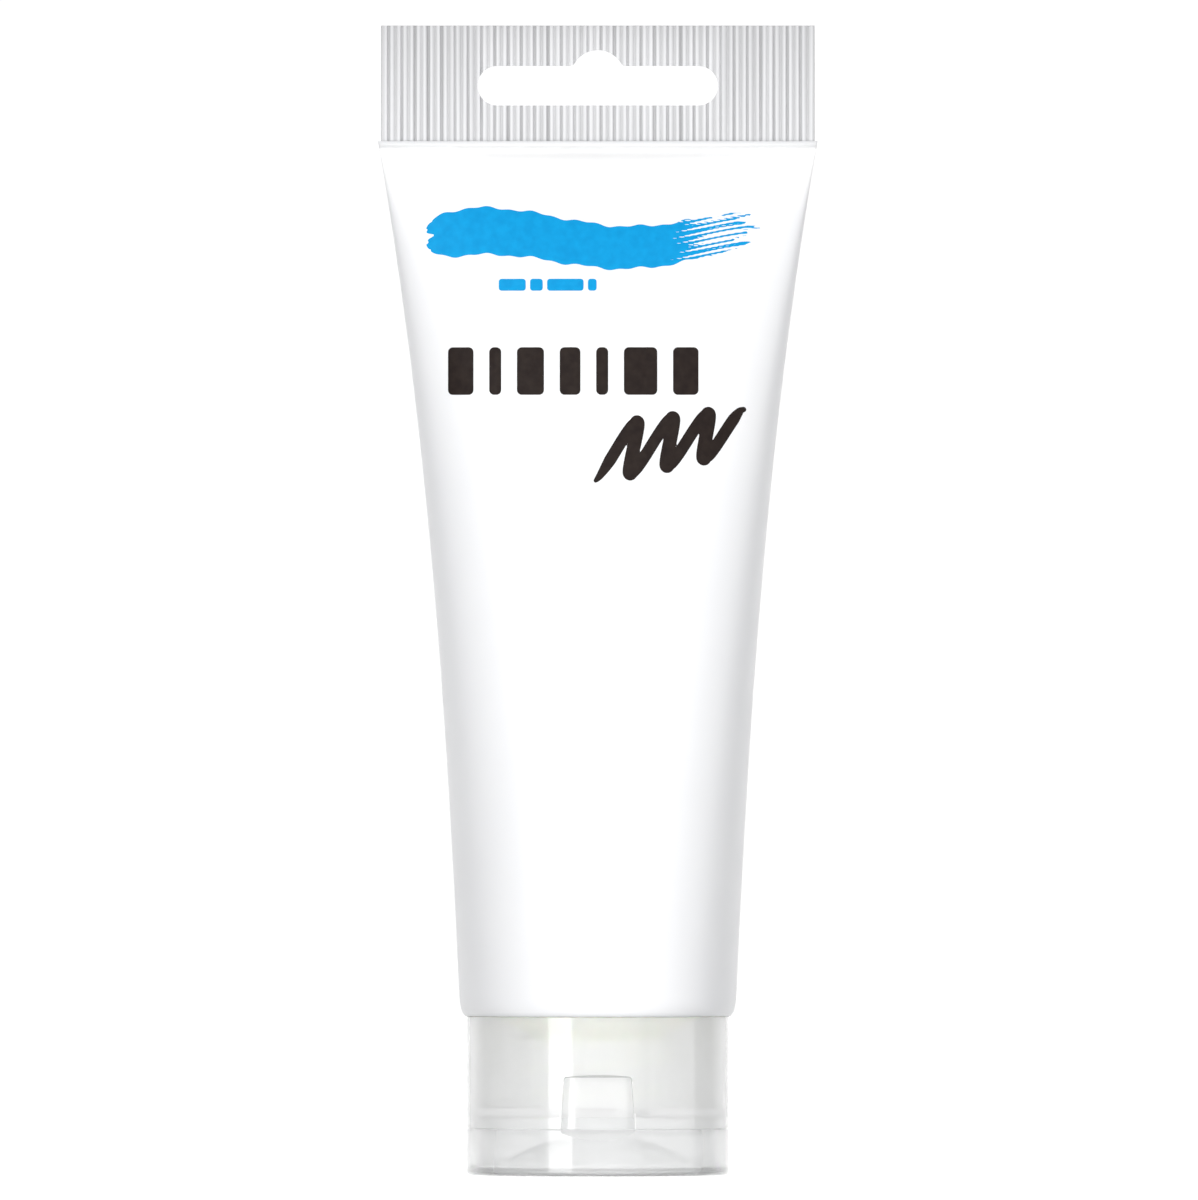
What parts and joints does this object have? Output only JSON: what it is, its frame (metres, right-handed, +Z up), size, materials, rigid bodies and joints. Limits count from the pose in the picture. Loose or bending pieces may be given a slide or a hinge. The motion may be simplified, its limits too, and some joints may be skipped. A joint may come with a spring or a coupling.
{
  "type": "paint tube",
  "caption": "Squeezable plastic paint tube with a crimped end, a hanging slot and a clear screw-on flip-top cap that it stands on.",
  "frame": {"origin": "centre of the lid's flat foot, which the tube stands on", "axes": "+Z up the tube to the crimped end, +X along the crimp, -Y is the front with the thumb notch and the print, +Y is the back with the lid's hinge"},
  "size_m": [0.0556, 0.035, 0.1453],
  "materials": {
    "white_sleeve": "satin white polyethylene",
    "natural_shoulder": "uncoloured polyethylene, milky",
    "clear_cap": "clear polypropylene, slightly milky",
    "foil": "satin foil",
    "foam_washer": "white foamed polyethylene",
    "paint": "wet white acrylic paint"
  },
  "bodies": {
    "tube": {"tube_sleeve": "white_sleeve", "end_seal": "white_sleeve", "tube_shoulder": "natural_shoulder", "neck_thread": "natural_shoulder", "foil_seal": "foil", "paint_fill": "paint"},
    "washer": {"sealing_washer": "foam_washer"},
    "cap": {"cap_shell": "clear_cap", "threaded_collar": "clear_cap", "cap_thread": "clear_cap", "outlet_spout": "clear_cap", "catch_ring": "clear_cap", "left_hinge_strap": "clear_cap", "right_hinge_strap": "clear_cap", "snap_spring": "clear_cap"},
    "lid": {"flip_lid": "clear_cap", "orifice_plug": "clear_cap", "plug_seal_ring": "clear_cap"}
  },
  "joints": [
    {"name": "cap_lift", "type": "slide", "parent": "tube", "child": "washer", "axis": [0, 0, -1], "range_m": [0, 0.0045]},
    {"name": "cap_turn", "type": "hinge", "parent": "washer", "child": "cap", "pos_m": [0, 0, 0], "axis": [0, 0, -1], "range_deg": [0, 540]},
    {"name": "lid_flip", "type": "hinge", "parent": "cap", "child": "lid", "pos_m": [0, 0.0169, 0.0059], "axis": [1, 0, 0], "range_deg": [0, 180], "deforming": ["left_hinge_strap", "right_hinge_strap", "snap_spring"]}
  ],
  "couplings": [
    {"joint": "cap_lift", "follows": "cap_turn", "m_per_rad": 0.00047746}
  ]
}
